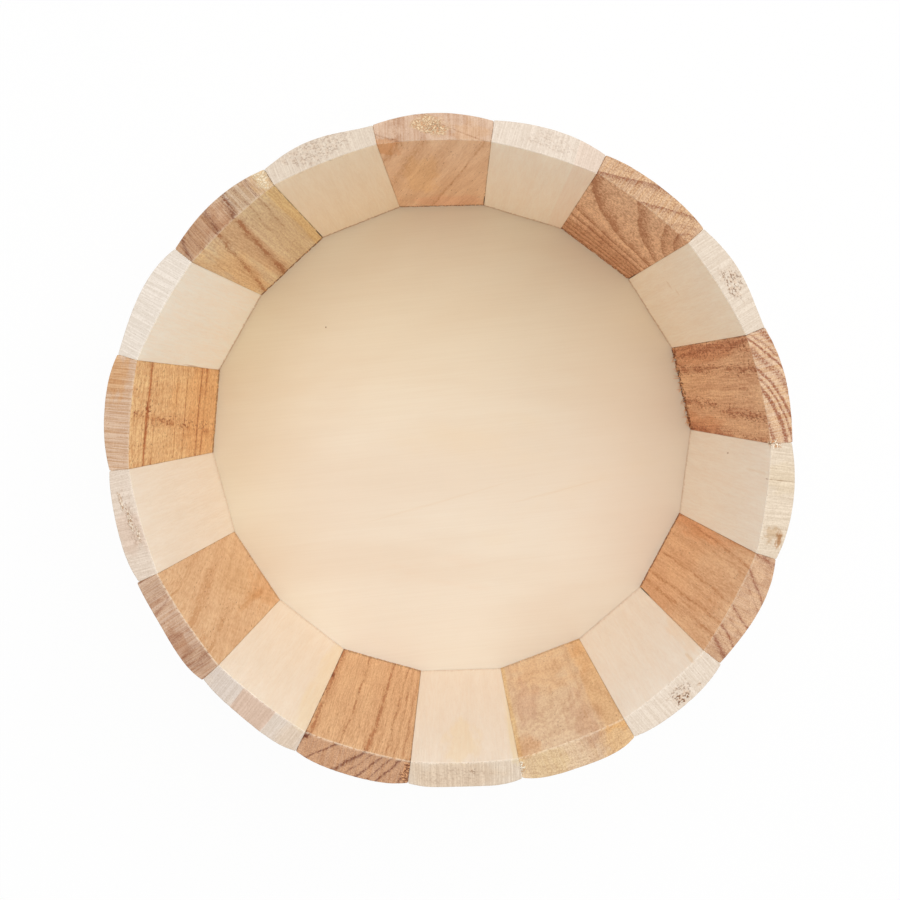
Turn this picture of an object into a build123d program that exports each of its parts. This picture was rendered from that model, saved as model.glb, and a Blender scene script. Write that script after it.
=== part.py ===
from build123d import *
from math import cos, hypot, radians, sin, sqrt, tan
import os

# Round tub of staves in two woods, glued edge to edge around a plywood base panel.
# Millimetres, +Z up. The origin is on the ground in the middle of the tub.
# Turns are in degrees, clockwise from +Y as seen from above.

# Inside of the tub, measured to the corners where two staves meet, and the degrees they lean out
tub_height = 127.0
rim_corner_radius = 115.1
wall_splay = 5.7

# How a ring glued up by hand departs from a true one: oval, with its joints a little out of place
rim_oval_share = 0.015
floor_oval_share = 0.008
long_axis_turn = 108.0
first_joint_turn = -12.6
joint_turn_shares = (
    -0.03, 0.01, 0.01, 0.05, 0.03, 0.03, 0.02, 0.01, -0.04,
    -0.01, -0.01, 0.00, 0.01, 0.02, 0.00, -0.03, -0.03, -0.02,
)
corner_reach_shares = (
    0.000, -0.003, 0.003, 0.003, -0.002, -0.002, 0.000, 0.004, 0.000,
    -0.003, -0.002, 0.008, -0.002, -0.006, 0.000, 0.009, -0.006, 0.001,
)

# The board that a stave is sawn from, flat inside and crowned outside
board_edge_thickness = 7.2
crown_rise = 3.5
crown_rise_shares = (
    1.10, 1.05, 0.85, 0.95, 0.85, 1.05, 0.95, 0.90, 1.15,
    0.85, 1.05, 0.90, 0.95, 0.85, 1.10, 1.10, 1.15, 1.05,
)
board_side_waste = 2.0
back_edge_ease = 0.5
glue_line = 0.1

# The shallow gouge cut that rounds out the mouth in the middle of each stave
mouth_rise = 1.0
mouth_length = 27.0

# The base panel and the croze, the groove across each stave that holds it
panel_height = 6.5
panel_thickness = 5.0
panel_edge_ease = 0.4
panel_margin = 1.0
croze_depth = 4.5
croze_slack = 0.2

# How far every cutter runs past the wood
cut_overrun = 5.0

stave_count = len(joint_turn_shares)
stave_pitch = 360 / stave_count
panel_top = panel_height + panel_thickness
inside_depth = tub_height - panel_top
floor_corner_radius = rim_corner_radius - inside_depth * tan(radians(wall_splay))
up = Vector(0, 0, 1)


def ring_corner(joint, mean_radius, oval_share, height):
    """Inside corner at a joint: a point of an oval, moved round and out by the joint's shares."""
    place = joint % stave_count
    turn = radians(first_joint_turn + stave_pitch * (place + joint_turn_shares[place]))
    oval = oval_share * cos(2 * (turn - radians(long_axis_turn)))
    reach = mean_radius * (1 + oval + corner_reach_shares[place])
    return Vector(reach * sin(turn), reach * cos(turn), height)


def rim_corner(joint):
    return ring_corner(joint, rim_corner_radius, rim_oval_share, tub_height)


def floor_corner(joint):
    return ring_corner(joint, floor_corner_radius, floor_oval_share, panel_top)


def stave_plane(index):
    """Square across a stave at the middle of its inner rim edge: X clockwise, Y outwards."""
    left, right = rim_corner(index), rim_corner(index + 1)
    across = (right - left).normalized()
    outward = up.cross(across)
    rim_reach = (left + right).dot(outward) / 2
    floor_reach = (floor_corner(index) + floor_corner(index + 1)).dot(outward) / 2
    lengthwise = outward * (rim_reach - floor_reach) + up * inside_depth
    return Plane(origin=(left + right) / 2, x_dir=across, z_dir=lengthwise)


def joint_plane(joint):
    """Halfway between the inner faces of two neighbours, facing the anticlockwise one."""
    facing = stave_plane(joint - 1).y_dir - stave_plane(joint).y_dir
    return Plane(origin=rim_corner(joint), z_dir=facing)


def arc_radius(chord, rise):
    return (chord * chord / 4 + rise * rise) / (2 * rise)


def make_stave(index):
    """Crowned board, sawn to its two joints, grooved for the panel and gouged at its mouth."""
    across = stave_plane(index)
    lean = across.z_dir.Z
    face_width = (rim_corner(index + 1) - rim_corner(index)).length
    back_width = face_width + 2 * board_edge_thickness * tan(radians(stave_pitch / 2))
    rise = crown_rise * crown_rise_shares[index]
    crown = board_edge_thickness + rise
    back_radius = arc_radius(back_width, rise)
    side = back_width / 2 + board_side_waste
    side_thickness = crown - back_radius + sqrt(back_radius**2 - side**2)
    panel_middle = across.origin - across.z_dir * (inside_depth + panel_thickness / 2) / lean
    croze = Plane(origin=panel_middle, x_dir=across.x_dir, z_dir=up)
    croze_height = panel_thickness + croze_slack
    gouge = Plane(
        origin=across.origin + across.y_dir * mouth_rise,
        x_dir=across.x_dir,
        z_dir=across.z_dir * mouth_length + across.y_dir * mouth_rise,
    )
    gouge_radius = arc_radius(face_width, mouth_rise)

    with BuildPart() as board:
        with BuildSketch(across.offset(cut_overrun)):
            with BuildLine():
                ThreePointArc((-side, side_thickness), (0, crown), (side, side_thickness))
                Polyline((side, side_thickness), (side, 0), (-side, 0), (-side, side_thickness))
            make_face()
        extrude(amount=-(tub_height / lean + 2 * cut_overrun))
        split(bisect_by=Plane.XY.offset(tub_height), keep=Keep.BOTTOM)
        split(bisect_by=Plane.XY, keep=Keep.TOP)
        split(bisect_by=joint_plane(index).offset(-glue_line / 2), keep=Keep.BOTTOM)
        split(bisect_by=joint_plane(index + 1).offset(glue_line / 2), keep=Keep.TOP)

        long_edges = board.edges().filter_by(lambda edge: edge.length > tub_height / 2)
        back_edges = long_edges.sort_by(lambda edge: hypot(edge.center().X, edge.center().Y))[-2:]
        fillet(back_edges, radius=back_edge_ease)

        with BuildSketch(croze.offset(-croze_height / 2)):
            with Locations((0, (croze_depth - cut_overrun) / 2)):
                Rectangle(2 * side, croze_depth + cut_overrun)
        extrude(amount=croze_height, mode=Mode.SUBTRACT)

        with BuildSketch(gouge):
            with Locations((0, -gouge_radius)):
                Circle(gouge_radius)
        extrude(amount=mouth_length + cut_overrun, both=True, mode=Mode.SUBTRACT)
    return board


def make_base_panel():
    """Oval plywood disc, a margin short of the bottom of the croze all the way round."""
    in_croze = croze_depth - panel_margin
    middle_of_face = floor_corner_radius * cos(radians(stave_pitch / 2))
    with BuildPart() as disc:
        with BuildSketch(Plane.XY.offset(panel_height)):
            Ellipse(
                middle_of_face * (1 + floor_oval_share) + in_croze,
                middle_of_face * (1 - floor_oval_share) + in_croze,
                rotation=90 - long_axis_turn,
            )
        extrude(amount=panel_thickness)
        rim_edges = disc.faces().filter_by(Axis.Z).edges()
        chamfer(rim_edges, length=panel_edge_ease)
    return disc


os.makedirs("parts", exist_ok=True)

# Staves, numbered clockwise from the +Y side: odd ones brown wood, even ones pale wood
for index in range(stave_count):
    stave = make_stave(index)
    stave.part.label = f"stave_{index + 1:02d}"
    export_step(stave.part, f"parts/{stave.part.label}.step")

base_panel = make_base_panel()
base_panel.part.label = "base_panel"
export_step(base_panel.part, "parts/base_panel.step")
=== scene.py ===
import bpy
import numpy as np
from mathutils import Matrix, Vector


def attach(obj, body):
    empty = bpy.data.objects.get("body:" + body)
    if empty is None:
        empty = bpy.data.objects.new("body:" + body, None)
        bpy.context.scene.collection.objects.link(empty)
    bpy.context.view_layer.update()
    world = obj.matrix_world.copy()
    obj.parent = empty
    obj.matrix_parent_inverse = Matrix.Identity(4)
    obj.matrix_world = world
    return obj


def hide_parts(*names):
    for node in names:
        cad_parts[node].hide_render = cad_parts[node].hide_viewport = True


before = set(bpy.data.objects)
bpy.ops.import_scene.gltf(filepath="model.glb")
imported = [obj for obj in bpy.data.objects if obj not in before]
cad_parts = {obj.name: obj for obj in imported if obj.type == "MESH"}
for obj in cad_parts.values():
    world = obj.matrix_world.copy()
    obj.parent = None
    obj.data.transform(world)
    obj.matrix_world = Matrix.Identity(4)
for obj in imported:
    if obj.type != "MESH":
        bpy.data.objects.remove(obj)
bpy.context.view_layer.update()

mm = 0.001

# The photograph is taken from a little over half a metre above the rim, almost straight down,
# so that the inner walls show all the way round. The image's top is the +Y side.
eye_place = (0.0043, 0.0317, 0.6839)
eye_tilt_degrees = (-3.08, 0.42, 0)
eye_lens = 61.64
eye_film_width = 36
camera_data = bpy.data.cameras.new("camera_over_the_tub")
camera_data.lens = eye_lens
camera_data.sensor_width = eye_film_width
camera = bpy.data.objects.new("camera_over_the_tub", camera_data)
camera.location = eye_place
camera.rotation_euler = np.radians(eye_tilt_degrees)
bpy.context.scene.collection.objects.link(camera)
bpy.context.scene.camera = camera

# The staves are eighteen short boards, flat inside and crowned outside, sawn to bevelled joints
# and glued edge to edge. They lean outwards, and each is grooved near its foot for the base panel.
stave_count = 18
tub_height = 127 * mm
rim_corner_radius = 115.1 * mm
wall_splay = np.radians(5.7)
rim_oval_share = 0.015
floor_oval_share = 0.008
long_axis_turn = np.radians(108)
first_joint_degrees = -12.6
joint_turn_shares = np.array((
    -0.03, 0.01, 0.01, 0.05, 0.03, 0.03, 0.02, 0.01, -0.04,
    -0.01, -0.01, 0.00, 0.01, 0.02, 0.00, -0.03, -0.03, -0.02,
))
corner_reach_shares = np.array((
    0.000, -0.003, 0.003, 0.003, -0.002, -0.002, 0.000, 0.004, 0.000,
    -0.003, -0.002, 0.008, -0.002, -0.006, 0.000, 0.009, -0.006, 0.001,
))
board_edge_thickness = 7.2 * mm
back_edge_ease = 0.5 * mm
glue_line = 0.03 * mm
mouth_rise = 1.0 * mm
mouth_length = 27 * mm
panel_height = 6.5 * mm
panel_thickness = 5.0 * mm
croze_depth = 4.5 * mm
croze_slack = 0.2 * mm
croze_foot = panel_height - croze_slack / 2
croze_lip = panel_height + panel_thickness + croze_slack / 2
inside_depth = tub_height - panel_height - panel_thickness
floor_corner_radius = rim_corner_radius - inside_depth * np.tan(wall_splay)
up = np.array((0.0, 0.0, 1.0))

# Where the boards of the ring were planed a little more, each as millimetres off its inner face
# and off its sawn top, so that neighbours don't meet quite flush
face_planed = mm * np.array((
    0.15, 0, 0.2, 0.05, 0, 0.1, 0, 0.15, 0.05, 0.1, 0, 0.1, 0.15, 0, 0, 0.1, 0, 0.05,
))
top_planed = mm * np.array((
    0.1, 0, 0.15, 0.05, 0.2, 0, 0.1, 0.05, 0.15, 0, 0.2, 0.05, 0.1, 0, 0.1, 0, 0.15, 0.05,
))


def unit(arrows):
    """Arrows of length one."""
    return arrows / np.linalg.norm(arrows, axis=-1, keepdims=True)


def ring_of_corners(mean_radius, oval_share, height):
    """Inside corners at the joints: points of an oval, moved round and out by each joint's shares."""
    turn_degrees = 360 / stave_count * (np.arange(stave_count) + joint_turn_shares)
    turn = np.radians(first_joint_degrees + turn_degrees)
    oval = oval_share * np.cos(2 * (turn - long_axis_turn))
    reach = mean_radius * (1 + oval + corner_reach_shares)
    return np.stack((reach * np.sin(turn), reach * np.cos(turn), np.full(stave_count, height)), axis=-1)


def reaches_of_faces(corners):
    """How far out each stave's inner face lies, halfway between its two corners."""
    return ((corners + np.roll(corners, -1, 0)) * outward_ways).sum(-1) / 2


rim_corners = ring_of_corners(rim_corner_radius, rim_oval_share, tub_height)
floor_corners = ring_of_corners(floor_corner_radius, floor_oval_share, tub_height - inside_depth)
stave_middles = (rim_corners + np.roll(rim_corners, -1, 0)) / 2
across_ways = unit(np.roll(rim_corners, -1, 0) - rim_corners)
outward_ways = np.cross(up, across_ways)
lean_reaches = reaches_of_faces(rim_corners) - reaches_of_faces(floor_corners)
length_ways = unit(outward_ways * lean_reaches[:, None] + up * inside_depth)
face_ways = np.cross(length_ways, across_ways)
joint_ways = unit(np.roll(face_ways, 1, 0) - face_ways)


def close_at_ends(count, closeness):
    """Shares from 0 to 1, closer together at both ends: t less a part of a full sine wave."""
    t = np.linspace(0, 1, count)
    return t - closeness * np.sin(2 * np.pi * t) / (2 * np.pi)


wave_count = 10


def wander(places, reach, seed):
    """Smooth unevenness of about -1 to 1: ten sine waves of about this reach, each running its own way."""
    chance = np.random.default_rng(seed)
    ways = chance.normal(size=(places.shape[-1], wave_count))
    ways *= 2 * np.pi / reach * chance.uniform(0.6, 1.6, wave_count) / np.linalg.norm(ways, axis=0)
    return np.sin(places @ ways + chance.uniform(0, 2 * np.pi, wave_count)).sum(-1) / 4


def eased(first, second, radius):
    """How far two faces draw back near the edge they share, so that it is a quarter round.

    first and second are a point's distances from the two faces. Within the radius of both, the
    point moves onto the circle of that radius round the line that lies one radius inside both.
    """
    a = np.maximum(radius - first, 0)
    b = np.maximum(radius - second, 0)
    pull = 1 - radius / np.maximum(np.hypot(a, b), radius)
    return a * pull, b * pull


def shell_of_box(counts):
    """The outside of a box of grid points: three index arrays for its points, and its faces.

    Each of the six sides is a grid over two of the three directions, and the sides share the
    points of their common edges, so that the shell is closed. Faces look outwards.
    """
    number = np.full(counts, -1)
    i, j, k = np.meshgrid(*[np.arange(n) for n in counts], indexing="ij")
    outside = (i % (counts[0] - 1) == 0) | (j % (counts[1] - 1) == 0) | (k % (counts[2] - 1) == 0)
    number[outside] = np.arange(outside.sum())

    def squares(side, flipped):
        four = (side[:-1, :-1], side[1:, :-1], side[1:, 1:], side[:-1, 1:])
        return np.stack(four[::-1] if flipped else four, axis=-1).reshape(-1, 4)

    faces = np.concatenate((
        squares(number[0], True),
        squares(number[-1], False),
        squares(number[:, 0], False),
        squares(number[:, -1], True),
        squares(number[:, :, 0], True),
        squares(number[:, :, -1], False),
    ))
    return i[outside], j[outside], k[outside], faces


sliver_points = 7


def slivers(roots, ways, sags, lengths, widths):
    """Splinters of wood: four-sided spikes along bent paths.

    A path is root + way * length * s + sag * s squared, for s from 0 to 1, and its half width is
    the width times the root of 1 - s.
    """
    s = np.linspace(0, 1, sliver_points)[None, :, None]
    path = roots[:, None] + ways[:, None] * lengths[:, None, None] * s + sags[:, None] * s**2
    aside = unit(np.cross(ways, up + 0.01))
    above = np.cross(ways, aside) / 2
    half = widths[:, None, None] * np.sqrt(1.02 - s)
    signs = ((1, 1), (-1, 1), (-1, -1), (1, -1))
    corners = [path + half * (a * aside[:, None] + b * above[:, None]) for a, b in signs]
    places = np.stack(corners, axis=2)
    number = np.arange(places.size // 3).reshape(places.shape[:3])
    following = np.roll(number, -1, axis=-1)
    four = (number[:, :-1], following[:, :-1], following[:, 1:], number[:, 1:])
    sides = np.stack(four, axis=-1).reshape(-1, 4)
    ends = np.concatenate((number[:, 0, ::-1], number[:, -1]))
    return places.reshape(-1, 3), np.concatenate((sides, ends))


def mesh_of(name, places, faces, **marks):
    """A smooth-shaded piece from places and four-cornered faces, with a number per point for each mark."""
    mesh = bpy.data.meshes.new(name)
    mesh.vertices.add(len(places))
    mesh.vertices.foreach_set("co", places.astype(np.float32).ravel())
    mesh.loops.add(faces.size)
    mesh.loops.foreach_set("vertex_index", faces.astype(np.int32).ravel())
    mesh.polygons.add(len(faces))
    mesh.polygons.foreach_set("loop_start", np.arange(0, faces.size, 4, dtype=np.int32))
    mesh.polygons.foreach_set("use_smooth", np.ones(len(faces), dtype=bool))
    for mark, amounts in marks.items():
        layer = mesh.attributes.new(mark, "FLOAT", "POINT")
        layer.data.foreach_set("value", amounts.astype(np.float32))
    mesh.update(calc_edges=True)
    mesh.validate()
    piece = bpy.data.objects.new(name, mesh)
    bpy.context.scene.collection.objects.link(piece)
    return piece


# The grid of a stave, and the wear of its edges: how round they are, how deep the nicks in them
# are, how much more of both a rough rim has, and how far the unevenness of each face reaches
stave_columns, column_closeness = 120, 0.72
stave_layers, layer_closeness = 16, 0.75
rows_below_groove, foot_closeness = 12, 0.8
rows_above_groove = 34
rows_below_rim = 38
half_height = 60 * mm
settling_turns = 4
along_share = 0.25
lip_clearance = 0.03 * mm
rim_edge_ease, rim_edge_nick = 0.16 * mm, 0.15 * mm
rough_edge_ease, rough_edge_nick = 0.12 * mm, 0.5 * mm
end_edge_ease, end_edge_nick = 0.2 * mm, 0.3 * mm
joint_edge_ease, joint_edge_nick = 0.13 * mm, 0.12 * mm
lip_edge_ease, tear_deepest = 0.25 * mm, 3 * mm
face_waviness, joint_reach = 0.04 * mm, 2 * mm
top_waviness, top_reach = 0.05 * mm, 3 * mm
joint_open_width = 0.28 * mm
arris_width = 0.5 * mm
strand_torn = 2.0
far_off = 1.0


def stave_rows():
    """Heights of a stave's rows, close together where wood is worked, and which are in the groove."""
    foot = croze_foot * close_at_ends(rows_below_groove, foot_closeness)
    groove = np.array((croze_foot + lip_clearance, croze_lip - lip_clearance))
    above_lip = croze_lip + (half_height - croze_lip) * np.linspace(0, 1, rows_above_groove) ** 2
    below_rim = tub_height - (tub_height - half_height) * np.linspace(1, 0, rows_below_rim)[1:] ** 2
    heights = np.concatenate((foot, groove, above_lip, below_rim))
    return heights, np.isin(heights, groove)


def loose_strands(number, count):
    """Fibres that stand loose at a stave's foot: slivers rooted along its line on the panel."""
    index, right = number - 1, number % stave_count
    across, outward = across_ways[index], outward_ways[index]
    foot_left, foot_right = floor_corners[index], floor_corners[right]
    chance = np.random.default_rng(number + 200)
    share = chance.uniform(0.05, 0.95, count)
    roots = foot_left + (foot_right - foot_left) * share[:, None] + outward * 0.3 * mm + up * 0.35 * mm
    ways = unit(-outward + across * chance.normal(0, 0.9, count)[:, None] + up * 0.1)
    sags = across * chance.normal(0, 0.6 * mm, count)[:, None] - up * 0.25 * mm
    lengths = chance.uniform(0.6, 2.8, count) * mm
    widths = chance.uniform(0.1, 0.2, count) * mm
    return slivers(roots, ways, sags, lengths, widths)


def make_stave(number, crown, torn_lip=0.0, tear_height=1.0, rough_rim=0.0, corner_chip=None, strands=0):
    """One stave, as a box of grid points bent to its shape.

    The columns run across between its two bevelled joints, the layers run outwards from the flat
    inner face to the crowned back, and the rows run up. The back is the curve of the fourth degree
    through the crown's five thicknesses in millimetres, from the left joint to the right one. Then
    edges are eased and roughened: the wood is torn out over the groove's lip and nicked along the rim.
    """
    index, right = number - 1, number % stave_count
    heights, groove_rows = stave_rows()
    i, j, k, faces = shell_of_box((stave_columns, stave_layers, len(heights)))
    column = close_at_ends(stave_columns, column_closeness)[i]
    layer = close_at_ends(stave_layers, layer_closeness)[j]
    height, in_groove = heights[k], groove_rows[k]
    inner = layer < 0.5
    middle, across, outward = stave_middles[index], across_ways[index], outward_ways[index]
    length, face = length_ways[index], face_ways[index]
    face_out, face_up = face @ outward, face @ up
    fall = height - tub_height

    def joint_edge(joint, side, out):
        """How far across the joint's plane lies, at this far out and this far below the rim."""
        way = joint_ways[joint]
        reach = side * glue_line / 2 - (middle - rim_corners[joint]) @ way
        return (reach - out * (way @ outward) - fall * way[2]) / (way @ across)

    def out_for(depth):
        """How far out a point lies that is this deep behind the inner face, square to it."""
        return (depth - fall * face_up) / face_out

    face_width = np.linalg.norm(rim_corners[right] - rim_corners[index])
    back_width = face_width + 2 * board_edge_thickness * np.tan(np.pi / stave_count)
    crown_curve = np.polyfit(np.linspace(-1, 1, 5), np.array(crown) * mm, 4)
    gouge_radius = (face_width**2 / 4 + mouth_rise**2) / (2 * mouth_rise)
    along = fall * (length @ up) + out_for(0) * (length @ outward)
    panel_fall = panel_height + panel_thickness / 2 - tub_height
    groove_out = -panel_fall * face_up / face_out + croze_depth

    # The joints' planes and the crown depend on each other, and agree after a few turns
    out = np.zeros(len(height))
    for _ in range(settling_turns):
        left_edge = joint_edge(index, -1, out)
        right_edge = joint_edge(right, 1, out)
        x = left_edge + column * (right_edge - left_edge)
        gouge = mouth_rise * (1 + along / mouth_length) - gouge_radius + np.sqrt(gouge_radius**2 - x**2)
        inner_out = out_for(np.maximum(gouge, 0) + face_planed[index])
        inner_out = np.where(in_groove, groove_out, inner_out)
        back_out = out_for(np.polyval(crown_curve, 2 * x / back_width))
        out = inner_out + layer * (back_out - inner_out)

    # Distances from the skins, the joints and the ends. Unevenness is longer along the stave than across.
    spot = np.stack((x, out, fall * along_share), axis=-1) / mm
    from_joint = np.minimum(x - left_edge, right_edge - x)
    joint_side = np.where(column < 0.5, -1, 1)
    from_skin = np.minimum(out - inner_out, back_out - out)
    skin_side = np.where(inner, -1, 1)
    from_end = np.minimum(height, tub_height - height)
    end_side = np.where(height < tub_height / 2, -1, 1)
    nick = np.clip(wander(spot, 3.5, number) * 0.7 + wander(spot, 1.1, number + 40) * 0.5, 0, 1)

    rim_ease = rim_edge_ease + rough_edge_ease * rough_rim
    rim_ease = rim_ease + (rim_edge_nick + rough_edge_nick * rough_rim) * nick
    joint_ease = np.where(inner, joint_edge_ease + joint_edge_nick * nick, back_edge_ease)
    in_skin, in_end = eased(from_skin, from_end, rim_ease)
    side_joint, side_end = eased(from_joint, from_end, end_edge_ease + end_edge_nick * nick)
    long_joint, long_skin = eased(from_joint, from_skin, joint_ease)

    # The lips of the groove, where the cutter left the wood, and the wood torn out over the upper one
    above_lip = np.where(height >= croze_lip, height - croze_lip, far_off)
    below_lip = np.where(height <= croze_foot, croze_foot - height, far_off)
    from_lip = np.where(in_groove, far_off, np.minimum(above_lip, below_lip))
    lip_skin, lip_end = eased(np.where(inner, from_skin, far_off), from_lip, lip_edge_ease)
    lip_spot = np.stack((x, x * 0), axis=-1) / mm
    ragged = wander(lip_spot, 4.5, number + 7) * 0.6 + wander(lip_spot, 1.2, number + 70) * 0.55
    tear = torn_lip * np.clip(ragged, 0, 1.2)
    tear_reach = (0.6 + 2.2 * np.clip(ragged, 0, 1)) * tear_height * mm
    tear_fade = np.clip(1 - above_lip / tear_reach, 0, 1) ** 0.8 * np.clip(1 - from_skin / tear_deepest, 0, 1)
    tear_fade = np.where(in_groove | ~inner, 0, tear_fade)

    # Marks for the material: torn wood, the two sawn ends, the rim's inner arris, where a highlight is
    # painted, and the glued seams
    marks = dict(
        torn=np.clip(tear * 1.5, 0, 1) * tear_fade,
        sawn=np.isin(k, (0, len(heights) - 1)).astype(float),
        arris=np.exp(-(from_skin**2 + fall**2) / arris_width**2) * inner,
        seam=np.exp(-((from_joint / joint_open_width) ** 2)),
    )

    top = np.clip(1 + fall / top_reach, 0, 1)
    waves = face_waviness * np.clip(wander(spot, 14, number + 90), -1, 1)
    waves = np.where(inner, -waves * ~in_groove, np.abs(waves)) * np.clip(from_joint / joint_reach, 0, 1)
    down = (in_end + side_end) * end_side - lip_end * np.where(height > half_height / 4, 1, -1)
    down = down + top * (top_planed[index] + top_waviness * (1 + wander(spot[:, :2], 9, number + 30)) / 2)
    inwards = (in_skin + long_skin) * skin_side - lip_skin - tear * tear_fade * mm + waves
    aside = (side_joint + long_joint) * joint_side
    if corner_chip:
        chip_side, chip_width, chip_depth, chip_drop = corner_chip
        from_corner = (x - left_edge if chip_side < 0 else right_edge - x) / chip_width
        inside_chip = np.clip((1 - from_corner - (out - inner_out) / chip_depth) * 6, 0, 1)
        chip_top = np.clip(1 + fall / (2 * chip_drop), 0, 1)
        crumbs = 1 + 0.35 * wander(spot, 1.4, number + 55)
        down = down + inside_chip * chip_top * chip_drop * crumbs

    down = np.where(height > half_height, np.maximum(down, 0), np.minimum(down, 0))
    places = middle + (x - aside)[:, None] * across + (out - inwards)[:, None] * outward
    places = places + (fall - down)[:, None] * up
    if strands:
        strand_places, strand_faces = loose_strands(number, strands)
        faces = np.concatenate((faces, strand_faces + len(places)))
        places = np.concatenate((places, strand_places))
        for name, mark in marks.items():
            on_strands = np.full(len(strand_places), strand_torn if name == "torn" else 0.0)
            marks[name] = np.concatenate((mark, on_strands))
    return mesh_of(f"{'brown' if number % 2 else 'pale'}_stave_{number:02d}", places, faces, **marks)


class Amount:
    """A number, place or colour that shader nodes work out, so that a sum of them is written as a sum."""

    def __init__(self, tree, socket):
        self.tree = tree
        self.socket = socket

    def __add__(self, other):
        return reckoned("ADD", self, other)

    def __radd__(self, other):
        return reckoned("ADD", other, self)

    def __sub__(self, other):
        return reckoned("SUBTRACT", self, other)

    def __rsub__(self, other):
        return reckoned("SUBTRACT", other, self)

    def __mul__(self, other):
        return reckoned("MULTIPLY", self, other)

    def __rmul__(self, other):
        return reckoned("MULTIPLY", other, self)

    def __truediv__(self, other):
        return reckoned("DIVIDE", self, other)


def node(tree, kind, settings=None, **inputs):
    """Places one shader node: its settings, then each input, plain or an Amount. Returns its outputs."""
    made = tree.nodes.new("ShaderNode" + kind)
    for setting, value in (settings or {}).items():
        setattr(made, setting, value)
    for name, value in inputs.items():
        socket = made.inputs[int(name[5:]) if name.startswith("input") else name.replace("_", " ")]
        if isinstance(value, Amount):
            feed(value, socket)
        else:
            socket.default_value = value
    return [Amount(tree, output) for output in made.outputs]


def feed(amount, socket):
    """Links an Amount to the input of a node."""
    amount.tree.links.new(amount.socket, socket)


def named(outputs):
    """A node's outputs by their names."""
    return {output.socket.name: output for output in outputs}


def tree_of(values):
    """The node tree that the Amounts among these values belong to."""
    return next(value.tree for value in values if isinstance(value, Amount))


def reckoned(operation, *terms):
    """One Math node, or one Vector Math node where a term is a place."""
    of_places = any(isinstance(term, Amount) and term.socket.type == "VECTOR" for term in terms)
    if of_places:
        terms = [(term,) * 3 if isinstance(term, (int, float)) else term for term in terms]
    inputs = {f"input{n}": term for n, term in enumerate(terms)}
    outputs = node(tree_of(terms), "VectorMath" if of_places else "Math", {"operation": operation}, **inputs)
    return outputs[1 if operation in ("LENGTH", "DOT_PRODUCT") else 0]


def larger(first, second):
    """The larger of two numbers."""
    return reckoned("MAXIMUM", first, second)


def between(share, ends):
    """The first of two numbers where the share is 0, the second where it is 1."""
    return share * (ends[1] - ends[0]) + ends[0]


def fade(value, start, end):
    """0 where the value is at start, 1 where it is at end, smooth between."""
    smooth = {"interpolation_type": "SMOOTHSTEP"}
    return node(value.tree, "MapRange", smooth, Value=value, input1=start, input2=end)[0]


def swatch(red, green, blue):
    """A colour read off a swatch, 0 to 255, as the linear value that a shader takes."""
    part = np.array((red, green, blue)) / 255
    linear = np.where(part < 0.04045, part / 12.92, ((part + 0.055) / 1.055) ** 2.4)
    return (*linear.tolist(), 1.0)


def blended(share, first, second, way="MIX"):
    """The first colour, with this share of the second laid over it. A plain colour is a swatch."""
    tree = tree_of((share, first, second))
    first, second = [colour if isinstance(colour, Amount) else swatch(*colour) for colour in (first, second)]
    settings = {"data_type": "RGBA", "blend_type": way}
    return node(tree, "Mix", settings, input0=share, input6=first, input7=second)[2]


def cloud(place, reach, detail=2, roughness=0.5, distortion=0.0):
    """Noise whose blobs are reach across, a number for each direction: 0 to 1, mostly about a half."""
    kind = dict(Scale=1.0, Detail=detail, Roughness=roughness, Distortion=distortion)
    return node(place.tree, "TexNoise", Vector=place / reach, **kind)[0]


def parts_of(place):
    """A place's three numbers."""
    return node(place.tree, "SeparateXYZ", Vector=place)


def group_of(name, takes, gives):
    """A new shader node group with these named inputs, each with its usual value, and outputs."""
    group = bpy.data.node_groups.new(name, "ShaderNodeTree")
    for socket_name, usual in takes.items():
        kind = "NodeSocketVector" if isinstance(usual, tuple) else "NodeSocketFloat"
        group.interface.new_socket(socket_name, in_out="INPUT", socket_type=kind).default_value = usual
    for socket_name in gives:
        group.interface.new_socket(socket_name, in_out="OUTPUT", socket_type="NodeSocketFloat")
    taken = named([Amount(group, socket) for socket in group.nodes.new("NodeGroupInput").outputs])
    return group, taken, group.nodes.new("NodeGroupOutput").inputs


def use(group, **inputs):
    """Places a node group, with its inputs as in node, and returns its outputs by their names."""
    return named(node(tree_of(inputs.values()), "Group", {"node_tree": group}, **inputs))


# Growth rings: rings round a pith that leans as it runs along the board, in the board's millimetres,
# and bulge round a swelling, such as the foot of a branch, and round the flare of the root
growth_rings, taken, given = group_of(
    "growth_rings",
    {
        "Place": (0, 0, 0), "Pith": (0, 0, 0), "Lean": (0, 0, 0), "Ring Width": 5.0, "Waviness": 0.4,
        "Rising Share": 0.25, "Dark Share": 0.4, "Softness": 0.15, "Uneven Years": 0.3,
        "Swell Middle": (0, 0, 0), "Swell Half Size": (10, 10, 20), "Swell Rise": 0.0,
        "Flare Middle": (0, 0, 0), "Flare Half Size": (10, 10, 20), "Flare Rise": 0.0,
    },
    ("Band",),
)
place, ring_width = taken["Place"], taken["Ring Width"]
leaned = taken["Pith"] + taken["Lean"] * parts_of(place)[2]
from_pith = (place - leaned) * (1, 1, 0)
slow_sway = (cloud(place, (16, 16, 60), 2) - 0.5) * 8.0
quick_sway = (cloud(place, (2.4, 2.4, 14), 3) - 0.5) * 2.4
reach = (slow_sway + quick_sway) * taken["Waviness"] + reckoned("LENGTH", from_pith)
for bulge in ("Swell", "Flare"):
    off = (place - taken[f"{bulge} Middle"]) / taken[f"{bulge} Half Size"]
    rise = reckoned("EXPONENT", reckoned("DOT_PRODUCT", off, off) * -1.0)
    reach = rise * taken[f"{bulge} Rise"] + reach
years = reach / ring_width
years = reckoned("SINE", years * 1.9) * taken["Uneven Years"] + years
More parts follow.
